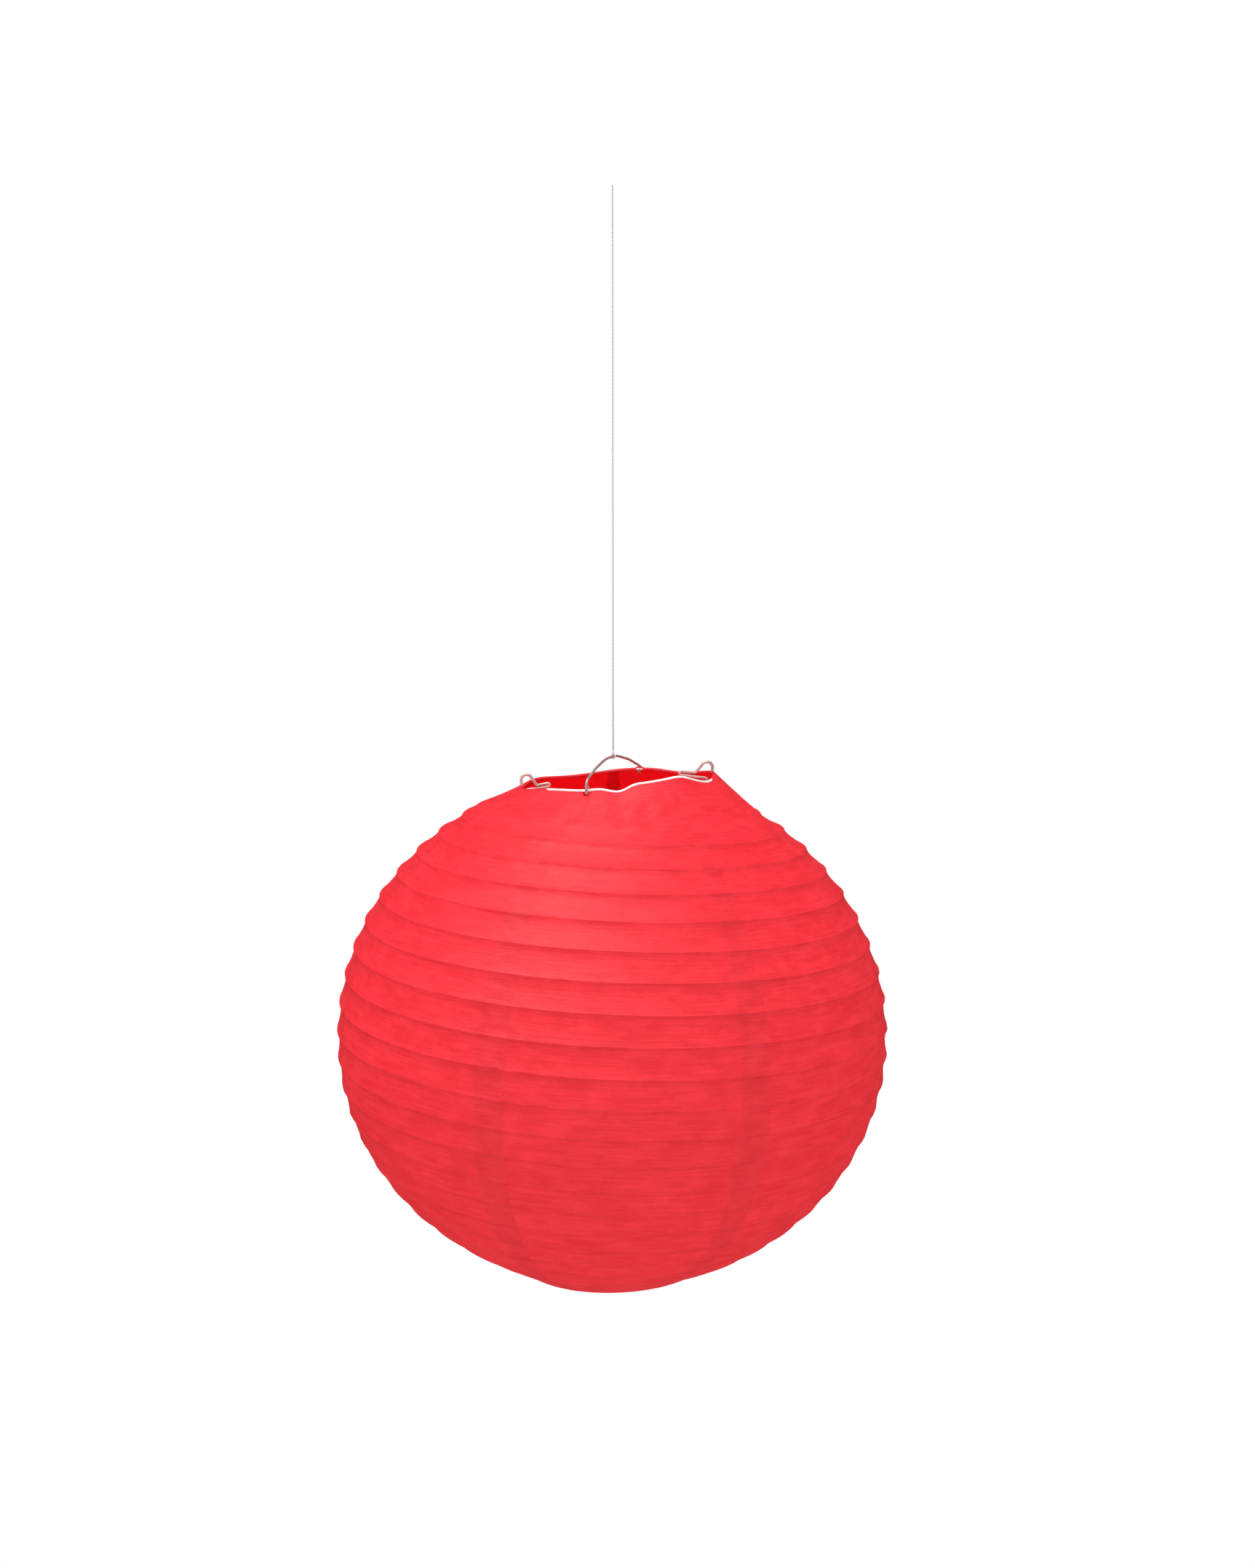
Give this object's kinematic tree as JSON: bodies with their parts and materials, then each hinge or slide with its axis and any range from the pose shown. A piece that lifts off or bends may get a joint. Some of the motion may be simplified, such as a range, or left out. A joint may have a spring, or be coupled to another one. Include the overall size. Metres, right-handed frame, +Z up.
{
  "type": "hanging paper lantern",
  "caption": "Round collapsible paper lantern on a coiled wire rib, open at top and bottom, held open by a wire expander and hung from a string.",
  "frame": {"origin": "the top end of the string, where the lantern is held", "axes": "+Z up along the string; the front faces -Y and +X is to the right of someone facing the front"},
  "size_m": [0.2412, 0.2412, 0.4718],
  "materials": {
    "red_tissue": "matte",
    "plated_wire": "satin",
    "rib_wire": "satin",
    "cotton_string": "matte"
  },
  "bodies": {
    "hanger": {"string": "cotton_string", "string_knot": "cotton_string", "string_loop": "cotton_string"},
    "bail": {"hanging_bail": "plated_wire"},
    "shade": {"top_ring": "plated_wire", "rib_coil": "rib_wire", "paper_gore_1": "red_tissue", "paper_gore_2": "red_tissue", "paper_gore_3": "red_tissue", "paper_gore_4": "red_tissue", "paper_gore_5": "red_tissue", "paper_gore_6": "red_tissue", "paper_gore_7": "red_tissue"},
    "lower": {"bottom_ring": "plated_wire", "expander": "plated_wire"}
  },
  "joints": [
    {"name": "rock", "type": "hinge", "parent": "hanger", "child": "bail", "pos_m": [0.00039, -0.00001, -0.24119], "axis": [0.9632, -0.2689, 0], "range_deg": [-18, 18]},
    {"name": "swing", "type": "hinge", "parent": "bail", "child": "shade", "pos_m": [0.00105, 0.00235, -0.2516], "axis": [0.2689, 0.9632, -0.0049], "range_deg": [-25, 25]},
    {"name": "collapse", "type": "slide", "parent": "shade", "child": "lower", "axis": [0, 0, 1], "range_m": [0, 0.174], "deforming": ["rib_coil", "paper_gore_1", "paper_gore_2", "paper_gore_3", "paper_gore_4", "paper_gore_5", "paper_gore_6", "paper_gore_7"]}
  ]
}
